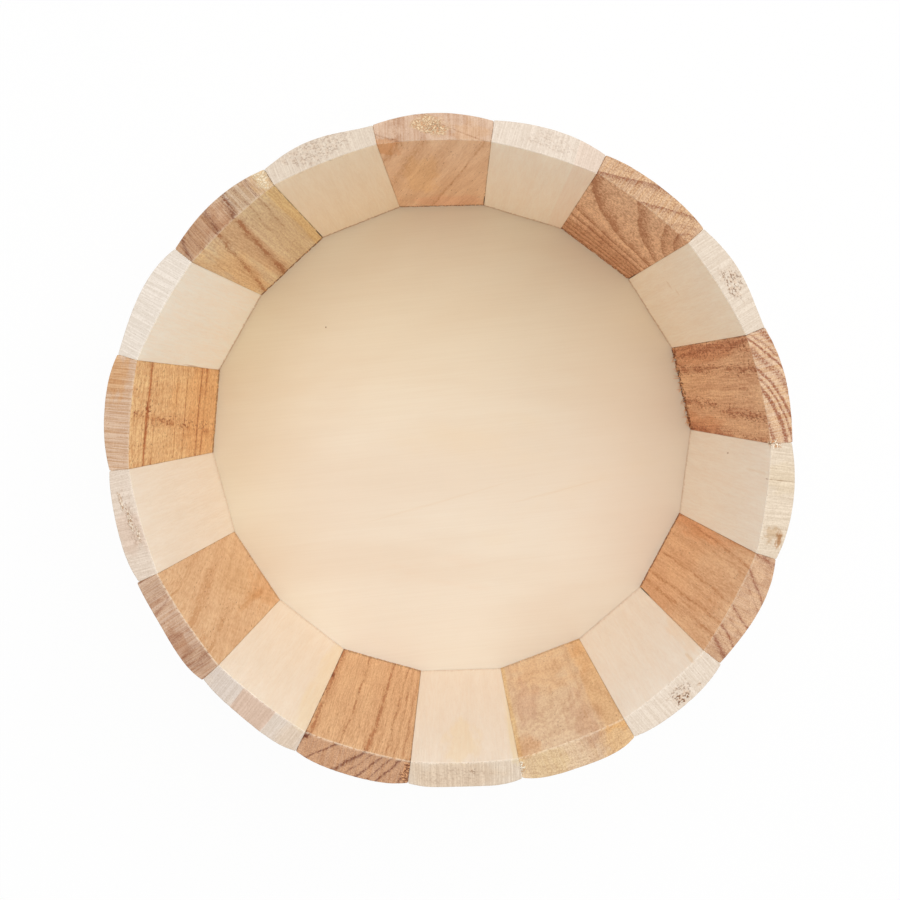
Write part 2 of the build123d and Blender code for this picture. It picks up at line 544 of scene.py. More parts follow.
fray = (cloud(place, (0.7, 0.7, 3), 2, 0.7) - 0.5) / ring_width * 0.9
part_of_year = reckoned("FRACT", fray + years)
year = reckoned("FLOOR", years)
good_year = node(growth_rings, "TexWhiteNoise", {"noise_dimensions": "1D"}, W=year)[0]
rising = fade(part_of_year, 0.0, taken["Rising Share"])
falling = fade(part_of_year, taken["Dark Share"] + taken["Softness"], taken["Dark Share"])
feed(rising * falling * between(good_year, (0.6, 1.0)), given["Band"])

# Grain: pores as short dark marks along the fibres, the speckle between them, the fibres themselves,
# and slow clouds of tone
wood_grain, taken, given = group_of(
    "wood_grain",
    {
        "Place": (0, 0, 0), "Fibre Lean": (0, 0, 0), "Mark Size": (0.7, 0.7, 3.4),
        "Fibre Size": (0.8, 0.8, 16), "Pore Share": 0.4,
    },
    ("Pores", "Flecks", "Fibres", "Clouds"),
)
mark_size = taken["Mark Size"]
straight = taken["Place"] - taken["Fibre Lean"] * parts_of(taken["Place"])[2]
bend = (cloud(straight, (9, 9, 40), 1) - 0.5) * 2.0
straight = straight + node(wood_grain, "CombineXYZ", X=bend)[0]
pore_bar = between(taken["Pore Share"], (0.66, 0.48))
feed(fade(cloud(straight, mark_size, 2, 0.6), pore_bar, pore_bar + 0.05), given["Pores"])
feed(fade(cloud(straight + (40, 0, 0), mark_size, 3, 0.7), 0.4, 0.6), given["Flecks"])
feed(fade(cloud(straight, taken["Fibre Size"], 4, 0.65), 0.4, 0.6), given["Fibres"])
feed(fade(cloud(straight, (5, 5, 50), 3, 0.6, 0.3), 0.38, 0.62), given["Clouds"])

# Saw marks: fine lines that the crosscut saw leaves on the rim, running outwards
saw_marks, taken, given = group_of("saw_marks", {"Place": (0, 0, 0)}, ("Lines",))
feed(fade(cloud(taken["Place"], (0.55, 22, 4), 3, 0.6), 0.4, 0.6), given["Lines"])

# A sheet: one dark layer of wood through a board, seen as a line on the face and another on the rim,
# with a softer darkness to both sides of it
dark_sheet, taken, given = group_of(
    "dark_sheet",
    {
        "Place": (0, 0, 0), "At Rim": 0.0, "Lean": 0.0, "Through": 0.0, "Width": 0.5, "Wander": 0.5,
        "Depth": 200.0,
    },
    ("Mask",),
)
place, width = taken["Place"], taken["Width"]
x, y, z = parts_of(place)
sway = (cloud(place, (6, 6, 24), 3) - 0.5) * 6.0
sheet_at = sway * taken["Wander"] + (z * taken["Lean"] + (y * taken["Through"] + taken["At Rim"]))
fray = (cloud(place, (0.7, 0.7, 3.4), 2, 0.7) - 0.5) * width
apart = fray * 4.0 + reckoned("ABSOLUTE", x - sheet_at)
patchy = fade(cloud(place, (3, 3, 12), 2), 0.38, 0.55)
core = fade(apart, width, width * 0.3) * between(patchy, (0.4, 1.0))
halo = fade(apart, width * 2.8, 0.0)
ending = fade(z, taken["Depth"] * -1.2, taken["Depth"] * -0.8)
feed(larger(core, halo * 0.4) * ending, given["Mask"])

# A patch: an oval on the rim or the face, with an uneven soft edge
soft_patch, taken, given = group_of(
    "soft_patch",
    {"Place": (0, 0, 0), "Middle": (0, 0, 0), "Half Size": (5, 3, 10), "Softness": 0.35},
    ("Mask",),
)
softness = taken["Softness"]
off = (taken["Place"] - taken["Middle"]) / taken["Half Size"]
rough = cloud(off + taken["Middle"] * 0.3, (0.7, 0.7, 0.7), 3) - 0.5
reach = reckoned("LENGTH", off) + rough * (softness * 6.0)
feed(fade(reach, softness + 1.0, 1.0 - softness), given["Mask"])


def place_on(tree, middle=(0, 0, 0), turn=(0, 0, 0)):
    """Where a point of the tub lies, in millimetres from this middle and along directions turned so."""
    where = named(node(tree, "TexCoord"))["Object"]
    frame_of_piece = dict(Location=middle, Rotation=turn, Scale=(mm, mm, mm))
    return node(tree, "Mapping", {"vector_type": "TEXTURE"}, Vector=where, **frame_of_piece)[0]


def stave_place(tree, number):
    """The stave's own millimetres: across from its middle, in from its inner face, up from its rim."""
    index = number - 1
    ways = Matrix((across_ways[index], face_ways[index], length_ways[index])).transposed()
    return place_on(tree, stave_middles[index], ways.to_euler())


def start_material(name):
    """A new material with only a Principled shader, its node tree, and the shader."""
    material = bpy.data.materials.new(name)
    material.use_nodes = True
    return material, material.node_tree, material.node_tree.nodes["Principled BSDF"]


wood_shine = 0.3


def dress(shader, colour, roughness, rise, relief_strength):
    """Gives the shader its colour and roughness, and its relief as a rise in millimetres."""
    relief = node(colour.tree, "Bump", Strength=relief_strength, Distance=mm, Height=rise)[0]
    feed(colour, shader.inputs["Base Color"])
    feed(relief, shader.inputs["Normal"])
    shader.inputs["Roughness"].default_value = roughness
    shader.inputs["Specular IOR Level"].default_value = wood_shine


def mark_on(tree, name):
    """A mark that the mesh carries at its points, such as torn, sawn or arris."""
    return named(node(tree, "Attribute", {"attribute_name": name}))["Fac"]


def patch_mask(place, middle, half_size, softness=0.35):
    """Where one patch lies, 0 to 1. A patch of the rim has only numbers across and outwards."""
    middle, half_size = (*middle, 0)[:3], (*half_size, 20)[:3]
    return use(soft_patch, Place=place, Middle=middle, Half_Size=half_size, Softness=softness)["Mask"]


def sheet_mask(place, at_rim, lean, through, width, share, depth=200.0, wander=0.5):
    """Where one dark sheet shows, 0 to its share."""
    sizes = dict(At_Rim=at_rim, Lean=lean, Through=through, Width=width, Wander=wander, Depth=depth)
    return use(dark_sheet, Place=place, **sizes)["Mask"] * share


def toned(grain, dark, cloudy, streaky, grainy):
    """How dark the wood is: a third, more or less by clouds, fibres and flecks, and more in dark bands."""
    tone = dark + (0.33 - (cloudy + streaky + grainy) / 2)
    return tone + grain["Clouds"] * cloudy + grain["Fibres"] * streaky + grain["Flecks"] * grainy


def patched(place, colour, patches, where=1.0):
    """The colour with patches laid over it: each has its middle, half size, share, tint and softness."""
    for middle, half_size, share, tint, *softness in patches:
        mask = patch_mask(place, middle, half_size, *softness)
        colour = blended(mask * (where * share), colour, tint, "MULTIPLY")
    return colour


def torn_out(place, colour, rise, torn_spots):
    """Colour and rise with curls where the saw tore the wood: middle, half size, light and shadow."""
    for middle, half_size, light, shadow in torn_spots:
        mask = patch_mask(place, middle, half_size)
        curls = fade(cloud(place, (0.9, 0.7, 3), 2, 0.6, 0.8), 0.4, 0.58)
        colour = blended(mask, colour, blended(curls, shadow, light))
        rise = mask * curls * 0.4 + rise
    return colour, rise


def arris_highlight_and_fuzz(place, colour, share, light):
    """Painted highlight, with some fuzz: a broken light line along the rim's inner edge."""
    broken = fade(cloud(place, (1.2, 1, 1), 2), 0.36, 0.5)
    return blended(mark_on(place.tree, "arris") * broken * share, colour, light)


def foot_fray_and_shade(place, sawn, reach, softness=1.8):
    """Where the inner face darkens just over the floor, 0 to 1, up to a ragged line, softer or sharper:
    partly frayed wood, partly painted shade in the corner with the panel.
    """
    outwards, along = parts_of(place)[1:]
    ragged = cloud(place, (1.4, 1.4, 3.0), 3, 0.7) * (reach * 5) + along
    line = reach * 2.8 - 112.8
    foot = fade(ragged, line, line - softness) * fade(outwards, 2.5, 1.5)
    return foot * fade(along, -118.0, -117.0) * (1.0 - sawn)


# The brown staves are of a ring-porous wood. Each board was sawn from its own place in the tree,
# so its rings cross the face and the rim their own way, and its soft early wood tore at the saw.
pore_brown = (150, 86, 52)
saw_bloom = (240, 222, 202)
speck_brown = (160, 80, 34)
# Painted highlight on the rim's inner arris of the brown staves
brown_arris_highlight = (250, 230, 202)
seam_brown = (98, 56, 34)
# Painted shadow colour for joints that stand open, and how far across from the middle the seams lie
gap_shadow_brown, gap_reach = (72, 40, 24), 19
# Torn wood and its fuzz. The dark one also colours the foot band, which is partly painted shade.
torn_and_foot_shade_brown, torn_fuzz = (122, 66, 38), (236, 178, 126)


def brown_material(
    number, face, band, rim, rim_band, patches, rings=None, ring_shares=(1, 1), ring_sharpness=(1, 1),
    sheets=(), levels=(), sheet_shares=(1, 1), rim_patches=(), specks=(), torn_spots=(),
    pores=0.0, band_pores=0.4, rim_pores=1.0, pore_dark=0.55, fibre_lean=(0, 0, 0),
    mark_size=(0.7, 0.7, 3.4), rim_marks=(0.6, 0.6, 3), fibre_size=(0.6, 0.8, 24),
    cloudy=0.25, streaky=0.3, grainy=0.3, saw_share=0.3, arris_share=0.3,
    foot_dark=0.5, foot_reach=1.2, seam_shares=(0.2, 0.2), gaps=(),
):
    """Ring-porous wood: darker porous early wood in each ring, fibres, clouds, and a sawn rim.

    Ring and sheet shares are for the face and for the rim, seam shares for the left and the right
    joint. A sheet has its place at the rim, its lean along and its run through the board, its
    width, share and depth, and a level is a sheet that lies across the board. A gap is where a
    joint stands open, painted dark as the shadow in it: its side, its height and its half length.
    """
    material, tree, shader = start_material(f"brown_wood_{number:02d}")
    place = stave_place(tree, number)
    sawn = mark_on(tree, "sawn")
    across, outwards, along = parts_of(place)
    level_place = node(tree, "CombineXYZ", X=along, Y=outwards, Z=across)[0]
    dark = 0.0
    for where, kinds in ((place, sheets), (level_place, levels)):
        for sheet in kinds:
            dark = larger(dark, sheet_mask(where, *sheet))
    dark = dark * between(sawn, sheet_shares)
    if rings:
        ring_band = use(growth_rings, Place=place, **rings)["Band"]
        ring_dark = reckoned("POWER", ring_band, between(sawn, ring_sharpness))
        dark = larger(dark, ring_dark * between(sawn, ring_shares))
    more_pores = (dark * band_pores + pores) * between(sawn, (1.0, rim_pores))
    marks = node(tree, "Mix", {"data_type": "VECTOR"}, input0=sawn, input4=mark_size, input5=rim_marks)[1]
    sizes = dict(Fibre_Lean=fibre_lean, Mark_Size=marks, Fibre_Size=fibre_size, Pore_Share=more_pores)
    grain = use(wood_grain, Place=place, **sizes)
    saw = use(saw_marks, Place=place)["Lines"]

    on_face = blended(toned(grain, dark, cloudy, streaky, grainy), face, band)
    on_rim = blended(toned(grain, dark, cloudy, 0.1, grainy * 1.2), rim, rim_band)
    on_rim = blended(saw * saw_share, on_rim, saw_bloom)
    colour = patched(place, blended(sawn, on_face, on_rim), patches)
    colour = patched(place, colour, rim_patches, sawn)
    colour = blended(grain["Pores"] * pore_dark, colour, pore_brown)
    for middle, half_size, share in specks:
        dots = fade(cloud(place, (1.0, 0.7, 2.8), 2, 0.6), 0.5, 0.62)
        mask = dots * patch_mask(place, middle, half_size, 0.5)
        colour = blended(mask * share, colour, speck_brown)
    colour, rise = torn_out(place, colour, grain["Pores"] * -0.04, torn_spots)
    # Painted highlight: a broken light line where light catches the rim's inner edge and its fuzz
    colour = arris_highlight_and_fuzz(place, colour, arris_share, brown_arris_highlight)

    seam = mark_on(tree, "seam")
    seam_share = between(fade(across, -1.0, 1.0), seam_shares)
    broken = fade(cloud(place, (1.5, 1.5, 6), 2), 0.36, 0.56)
    colour = blended(seam * seam_share * broken, colour, seam_brown)
    # Painted shadow: a dark patch on the seam where a joint stands open
    for side, height, half_length in gaps:
        mask = patch_mask(place, (side * gap_reach, 0, height), (12, 3, half_length))
        colour = blended(mask * fade(seam, 0.05, 0.3), colour, gap_shadow_brown)
    # Dark foot band: partly frayed wood, partly painted shade in the corner with the panel and under torn
    # lips
    torn = mark_on(tree, "torn")
    torn_or_foot_shade = larger(foot_fray_and_shade(place, sawn, foot_reach) * foot_dark, torn * 0.9)
    fuzz = larger(fade(cloud(place, (0.7, 0.7, 4), 2, 0.6), 0.5, 0.66), torn - 1.0)
    colour = blended(torn_or_foot_shade, colour, blended(fuzz, torn_and_foot_shade_brown, torn_fuzz))
    rise = rise + grain["Flecks"] * 0.07 + grain["Fibres"] * 0.04 + saw * sawn * 0.06
    dress(shader, colour, roughness=0.72, rise=rise, relief_strength=0.8)
    return material


brown_looks = {
    1: dict(
        face=(253, 217, 181), band=(220, 172, 130), rim=(213, 180, 153), rim_band=(180, 137, 107),
        fibre_lean=(0.2, 0, 0), cloudy=0.35, streaky=0.15, grainy=0.2, rim_marks=(0.5, 0.5, 3),
        sheets=(
            (19.2, 0.19, -2.5, 0.5, 1.1), (-13, 0.2, 0, 1.8, 0.6, 90), (-4, 0.22, 0, 1.4, 0.6),
            (6, 0.2, 0, 2, 0.35), (-9.6, 0, -3.2, 0.45, 1.2, 6),
        ),
        sheet_shares=(0.65, 1.0), saw_share=0.2,
        patches=(
            ((-6, 0, -52), (7, 4, 30), 0.6, (255, 248, 222)),
            ((-19, 0, -5), (6, 2.6, 14), 0.8, (240, 212, 180)),
            ((6, 0, -108), (14, 4, 16), 0.7, (255, 240, 236)),
        ),
        rim_patches=(((13, 3), (6, 4), 0.5, (255, 240, 214)),),
        torn_spots=(
            ((-2.6, 6.9, 0), (5.6, 2.6, 5), (232, 202, 164), (210, 164, 124)),
            ((1.6, 5.0, 0), (3.6, 2.2, 5), (230, 200, 162), (210, 162, 122)),
        ),
        foot_dark=0.7, foot_reach=0.4, arris_share=0.12, seam_shares=(0.25, 0.4), gaps=((1, -106, 8),),
    ),
    3: dict(
        face=(254, 215, 176), band=(186, 128, 90), rim=(216, 176, 134), rim_band=(148, 94, 60),
        rings=dict(
            Pith=(72, -200.1, 0), Lean=(0.22, 0.19, 0), Ring_Width=7.2, Waviness=0.35, Rising_Share=0.95,
            Dark_Share=0.8, Softness=0.08, Uneven_Years=0.0,
            Swell_Middle=(24, 0, -2), Swell_Half_Size=(10.4, 6, 42), Swell_Rise=-15.0,
            Flare_Middle=(14, 0, -132), Flare_Half_Size=(70, 40, 42), Flare_Rise=50.0,
        ),
        ring_sharpness=(2.0, 3.5), ring_shares=(1.1, 1.7), rim_pores=2.4,
        mark_size=(0.9, 0.8, 2.0), fibre_size=(2, 0.8, 4), cloudy=0.15, streaky=0.15, grainy=0.5,
        patches=(
            ((0, 0, -116), (30, 6, 40), 1.0, (230, 214, 204)),
            ((19, 0, -12), (9, 4, 26), 0.6, (238, 222, 210)),
        ),
        saw_share=0.18, foot_dark=0.75, arris_share=0.08, seam_shares=(0.5, 0.2), gaps=((1, -106, 10),),
    ),
    5: dict(
        face=(255, 214, 170), band=(194, 130, 94), rim=(225, 187, 145), rim_band=(158, 100, 68),
        rings=dict(Pith=(20, -38, 0), Ring_Width=2.8, Waviness=0.3, Dark_Share=0.38, Softness=0.38),
        ring_shares=(0.12, 0.62), sheet_shares=(0.75, 0.0),
        pores=0.05, band_pores=1.7, rim_pores=1.2, pore_dark=0.7,
        mark_size=(0.8, 0.7, 2.4), rim_marks=(0.7, 0.6, 3), cloudy=0.2,
        sheets=(
            (-17.5, -0.01, 0, 3.4, 0.7), (-7.4, 0.025, 0, 2.4, 0.7), (10.9, 0.07, 0, 2.6, 0.7),
            (21, 0.05, 0, 2.6, 0.6),
        ),
        patches=(
            ((14.5, 0, -100), (5, 4, 34), 0.7, (236, 206, 190)),
            ((-16, 0, -70), (4, 4, 60), 0.7, (240, 214, 200)),
        ),
        torn_spots=(((20.5, 1, 0), (1.4, 2.2, 4), (250, 232, 205), (200, 140, 96)),),
        foot_dark=1.0, foot_reach=7, arris_share=0.08, seam_shares=(0.6, 0.15),
    ),
    7: dict(
        face=(252, 213, 172), band=(206, 144, 98), rim=(220, 181, 143), rim_band=(154, 98, 68),
        pores=0.05, band_pores=0.5, rim_marks=(0.45, 0.45, 3), streaky=0.2, saw_share=0.12,
        sheets=(
            (-14.9, 0.02, 0.95, 0.55, 0.9), (-0.1, 0, 0.58, 0.55, 0.8), (7.8, -0.02, 0.64, 0.5, 0.8),
            (13.3, -0.01, 0.69, 0.8, 1.0), (-20.2, 0.017, 0.1, 1.0, 0.8), (-11.5, 0.02, 0.95, 0.3, 0.35),
            (3.6, 0, 0.6, 0.3, 0.35), (10.4, -0.015, 0.66, 0.3, 0.45),
        ),
        sheet_shares=(0.6, 1.0),
        patches=(
            ((0, 0, -90), (24, 5, 50), 0.5, (255, 244, 232)),
            ((-18, 0, -80), (5, 4, 50), 0.7, (250, 226, 208)),
        ),
        rim_patches=(((19.5, 6), (2.4, 7), 0.6, (236, 228, 220)),),
        foot_dark=0.8, foot_reach=0.4, arris_share=0.25, seam_shares=(0.35, 0.15), gaps=((1, -104, 9),),
    ),
    9: dict(
        face=(248, 226, 195), band=(222, 188, 154), rim=(225, 197, 160), rim_band=(190, 154, 122),
        rings=dict(
            Pith=(2, -30, 0), Lean=(0, 0.05, 0), Ring_Width=1.7, Waviness=0.7, Dark_Share=0.3,
            Softness=0.4, Swell_Middle=(6, 0, -50), Swell_Half_Size=(15, 8, 44), Swell_Rise=9.0,
        ),
        ring_shares=(0.42, 0.34), band_pores=0.1, mark_size=(0.9, 0.8, 2.4),
        streaky=0.15, grainy=0.5, saw_share=0.12,
        patches=(
            ((-19, 0, -50), (9, 4, 90), 0.8, (255, 238, 210)),
            ((-7.5, 0, -18), (5, 5, 26), 0.8, (240, 226, 222), 0.6),
            ((12.6, 0, -56), (4.4, 4, 26), 0.8, (242, 230, 230), 0.6),
            ((17, 0, -8), (5, 2, 14), 0.6, (244, 218, 192)),
            ((20.4, 0, -40), (1.8, 5, 90), 0.8, (255, 250, 222)),
            ((0, 0, -96), (18, 4, 26), 0.6, (255, 240, 220), 0.6),
        ),
        rim_patches=(
            ((-17, 6), (6, 10), 0.8, (255, 238, 208)), ((-7, 6), (4, 10), 0.7, (244, 236, 232)),
            ((12, 6), (8, 10), 0.6, (250, 248, 230)),
        ),
        torn_spots=(((20.6, 3.2, 0), (1.0, 2.4, 3), (255, 244, 222), (206, 160, 110)),),
        foot_dark=0.3, arris_share=0.45, seam_shares=(0.25, 0.05),
    ),
    11: dict(
        face=(248, 209, 163), band=(194, 132, 88), rim=(214, 165, 124), rim_band=(126, 74, 48),
        pores=0.05, band_pores=0.7, pore_dark=0.5, mark_size=(0.5, 0.5, 3), rim_marks=(0.5, 0.5, 3),
        fibre_size=(0.5, 0.8, 20), cloudy=0.15, grainy=0.28, saw_share=0.1,
        sheets=(
            (-17, 0, 0.7, 0.45, 0.8), (-10.8, 0.01, 0.8, 0.4, 0.9), (-4.6, 0.01, 1.07, 0.75, 1.1),
            (6, 0.01, 1.3, 0.45, 0.9), (18.2, 0.01, 1.0, 0.8, 1.0), (-19.8, 0.017, 0.2, 0.5, 0.8),
            (-14, 0, 0.75, 0.35, 0.6), (-7.6, 0.01, 0.9, 0.3, 0.5),
        ),
        sheet_shares=(0.62, 1.0),
        patches=(
            ((17.9, 0, -76), (0.7, 2, 4.2), 0.9, (180, 132, 104), 0.3),
            ((20, 1, 0), (1.4, 1.4, 2), 0.9, (170, 120, 96)),
        ),
        torn_spots=(((-19.6, 4, 0), (1.8, 5, 3), (222, 164, 118), (130, 78, 50)),),
        arris_share=0.55, seam_shares=(0.5, 0.7),
    ),
    13: dict(
        face=(246, 211, 169), band=(215, 166, 121), rim=(206, 171, 141), rim_band=(164, 118, 90),
        rings=dict(
            Pith=(-34, -26, 0), Lean=(0.5, 0.1, 0), Ring_Width=5, Waviness=1.0, Dark_Share=0.4,
            Softness=0.5, Swell_Middle=(2, 0, -75), Swell_Half_Size=(9, 9, 26), Swell_Rise=8.0,
        ),
        ring_shares=(0.18, 0.1), band_pores=0.2, fibre_lean=(-0.2, 0, 0), rim_marks=(0.5, 0.5, 3),
        sheets=(
            (10.9, 0, -0.31, 0.4, 1.4, 12), (-14.5, -0.16, 0, 1.2, 0.8, 52), (-3, -0.2, 0, 2.2, 0.6, 64),
            (12, -0.1, 0, 2.0, 0.4), (-9, -0.05, -0.2, 0.8, 0.5, 8), (-16, 0, -0.1, 0.9, 0.6, 8),
            (4, 0, 0, 0.7, 0.5, 8),
        ),
        sheet_shares=(0.9, 1.0), streaky=0.2, saw_share=0.25,
        patches=(
            ((0, 0, -78), (8, 4, 22), 0.7, (248, 244, 236), 0.6),
            ((-10.6, 0, -78), (1.5, 4, 22), 0.7, (238, 216, 194), 0.6),
            ((-12, 0, -104), (8, 4, 18), 0.5, (250, 230, 204), 0.6),
        ),
        rim_patches=(
            ((-5, 7.5), (6, 3), 0.8, (228, 206, 190)), ((-15, 5), (6, 8), 0.6, (230, 218, 208)),
            ((16, 5), (4, 8), 0.5, (236, 236, 236)), ((21.4, 4.5), (0.8, 5), 0.8, (160, 120, 92), 0.4),
            ((-21.4, 4.5), (0.8, 5), 0.6, (190, 146, 118), 0.4),
        ),
        foot_dark=0.3, arris_share=0.55,
    ),
    15: dict(
        face=(255, 221, 166), band=(200, 124, 70), rim=(198, 160, 126), rim_band=(172, 126, 92),
        pores=0.3, band_pores=0.8, rim_pores=0.1, pore_dark=0.5,
        mark_size=(1.4, 0.7, 1.7), fibre_size=(14, 0.7, 1.6), cloudy=0.15, grainy=0.35, saw_share=0.35,
        sheets=((0, 0.095, 0, 1.2, 0.3),),
        levels=(
            (-17.5, -0.075, 0, 0.9, 1.4), (-87, -0.05, 0, 0.8, 1.2), (-67, 0, 0, 0.6, 0.7),
            (-95, -0.03, 0, 0.7, 0.9), (-26, -0.03, 0, 0.5, 0.6), (-54, 0.03, 0, 0.4, 0.5),
        ),
        sheet_shares=(0.9, 0.15),
        patches=(((0, 0, -90), (22, 4, 30), 0.5, (250, 228, 204)),),
        rim_patches=(((14, 7), (8, 4), 0.7, (255, 232, 192)),),
        specks=(
            ((0.4, 0, -10), (1.6, 2, 9), 0.8), ((0.8, 0, -17), (2.0, 2, 5), 0.9),
            ((-3.2, 0, -40), (2.0, 2, 16), 0.8), ((-5.4, 0, -68), (1.6, 2, 9), 0.9),
            ((-6.4, 0, -92), (1.6, 2, 14), 0.8),
        ),
        foot_dark=0.6, arris_share=0.25, seam_shares=(0.25, 0.15),
    ),
    17: dict(
        face=(255, 239, 200), band=(190, 138, 98), rim=(210, 178, 145), rim_band=(130, 82, 54),
        fibre_size=(0.7, 0.8, 70), cloudy=0.1, streaky=0.2, grainy=0.25,
        sheets=(
            (1.7, 0.041, 0.3, 1.1, 1.05), (-6.8, 0.066, 0.24, 1.0, 0.7), (-20.5, 0.02, 0.35, 0.8, 1.0),
            (-15, 0.04, 0.1, 0.4, 0.3), (8.5, 0.04, 0, 0.4, 0.25), (13.2, 0.03, 0, 0.4, 0.5, 60),
        ),
        sheet_shares=(0.85, 1.0),
        patches=(
            ((-2.6, 3, -50), (4.6, 9, 120), 0.8, (242, 224, 210)),
            ((9.5, 3, -50), (6, 9, 120), 0.7, (242, 236, 228)),
            ((18, 4, -50), (3.4, 10, 120), 0.9, (255, 246, 216)),
            ((-14, 0, -60), (6, 4, 60), 0.7, (255, 234, 206)),
        ),
        rim_patches=(
            ((-13, 5), (12, 10), 0.75, (220, 192, 166), 0.6), ((8, 5), (4.5, 7), 0.8, (250, 255, 255), 0.5),
        ),
        torn_spots=(((18.6, 5.5, 0), (2.6, 5, 3), (240, 220, 188), (226, 194, 152)),),
        foot_dark=0.85, foot_reach=0.7, seam_shares=(0.1, 0.6), gaps=((1, -106, 8),),
    ),
}
brown_wear = {
    1: dict(crown=(7.0, 9.8, 10.8, 10.0, 7.4), torn_lip=0.35, corner_chip=(-1, 9 * mm, 3.2 * mm, 0.6 * mm)),
    3: dict(crown=(7.3, 9.5, 10.1, 9.6, 7.5), torn_lip=0.6, rough_rim=0.2),
    5: dict(crown=(7.2, 9.8, 10.5, 9.7, 7.8), torn_lip=1.3, tear_height=2.2, rough_rim=0.5, strands=36),
    7: dict(crown=(7.4, 10.4, 10.9, 9.7, 7.5), torn_lip=0.25),
    9: dict(crown=(7.9, 11.1, 11.3, 10.6, 7.4), torn_lip=0.15),
    11: dict(crown=(8.0, 10.7, 11.2, 10.6, 8.0), torn_lip=0.25, rough_rim=0.35),
    13: dict(crown=(8.2, 10.4, 10.1, 9.4, 8.2), torn_lip=0.15),
    15: dict(crown=(6.9, 9.6, 10.5, 10.0, 7.4), torn_lip=0.2),
    17: dict(crown=(7.6, 9.8, 10.5, 9.5, 6.5), torn_lip=0.4),
}
for number, looks in brown_looks.items():
    stave = make_stave(number, **brown_wear[number])
    stave.data.materials.append(brown_material(number, **looks))
    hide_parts(f"stave_{number:02d}")
    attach(stave, "root")

# The pale staves are of a fine, even, almost white wood. Their faces are planed smooth and show
# little but faint streaks, and the saw left fine lines and clusters of torn pores on their rims.
pore_grey = (150, 115, 85)
speck_fuzz, speck_hole = (206, 170, 138), (138, 98, 70)
sheet_grey = (150, 116, 84)
# Painted highlight on the rim's inner arris of the pale staves
pale_arris_highlight = (255, 246, 230)
# Torn wood, also the colour of the foot band, which is partly painted shade
torn_and_foot_shade_tan = (186, 136, 96)


def pale_material(
    number, face, shade, rim, rim_shade, patches=(), rim_patches=(), specks=(), sheets=(), torn_spots=(),
    saw_share=0.5, arris_share=0.3, foot_dark=0.3,
):
    """Fine even wood: faint streaks along the face, fine lines on the rim, and specks where it tore.

    Patches, sheets and torn spots are as in the brown wood. A speck has its middle, half size and share.
    """
    material, tree, shader = start_material(f"pale_wood_{number:02d}")
    place = stave_place(tree, number)
    sawn = mark_on(tree, "sawn")
    grain = use(wood_grain, Place=place, Pore_Share=0.3)
    saw = use(saw_marks, Place=place)["Lines"]
    on_face = blended(toned(grain, 0.0, 0.3, 0.35, 0.15), face, shade)
    on_rim = blended(toned(grain, saw * saw_share, 0.15, 0.1, 0.35), rim, rim_shade)
    colour = patched(place, blended(sawn, on_face, on_rim), patches)
    colour = patched(place, colour, rim_patches, sawn)
    for sheet in sheets:
        colour = blended(sheet_mask(place, *sheet, wander=0.1), colour, sheet_grey)
    rise = saw * sawn * 0.08 + grain["Fibres"] * 0.05
    colour = blended(grain["Pores"] * between(sawn, (0.04, 0.18)), colour, pore_grey)
    for middle, half_size, share in specks:
        mask = patch_mask(place, middle, half_size)
        fuzz = fade(cloud(place, (1.6, 1.2, 3), 3, 0.7), 0.45, 0.6) * mask
        holes = fade(cloud(place, (1.1, 0.7, 3), 2, 0.6), 0.54, 0.6) * mask * share
        colour = blended(fuzz * (share * 0.5), colour, speck_fuzz)
        colour = blended(holes, colour, speck_hole)
        rise = holes * -0.4 + rise
    colour, rise = torn_out(place, colour, rise, torn_spots)
    # Painted highlight: a broken light line where light catches the rim's inner edge and its fuzz
    colour = arris_highlight_and_fuzz(place, colour, arris_share, pale_arris_highlight)
    # Dark foot band: partly frayed wood, partly painted shade in the corner with the panel
    foot = foot_fray_and_shade(place, sawn, reach=1.2, softness=3.6) * foot_dark
    colour = blended(larger(foot, mark_on(tree, "torn") * 0.6), colour, torn_and_foot_shade_tan)
    dress(shader, colour, roughness=0.68, rise=rise, relief_strength=0.7)
    return material


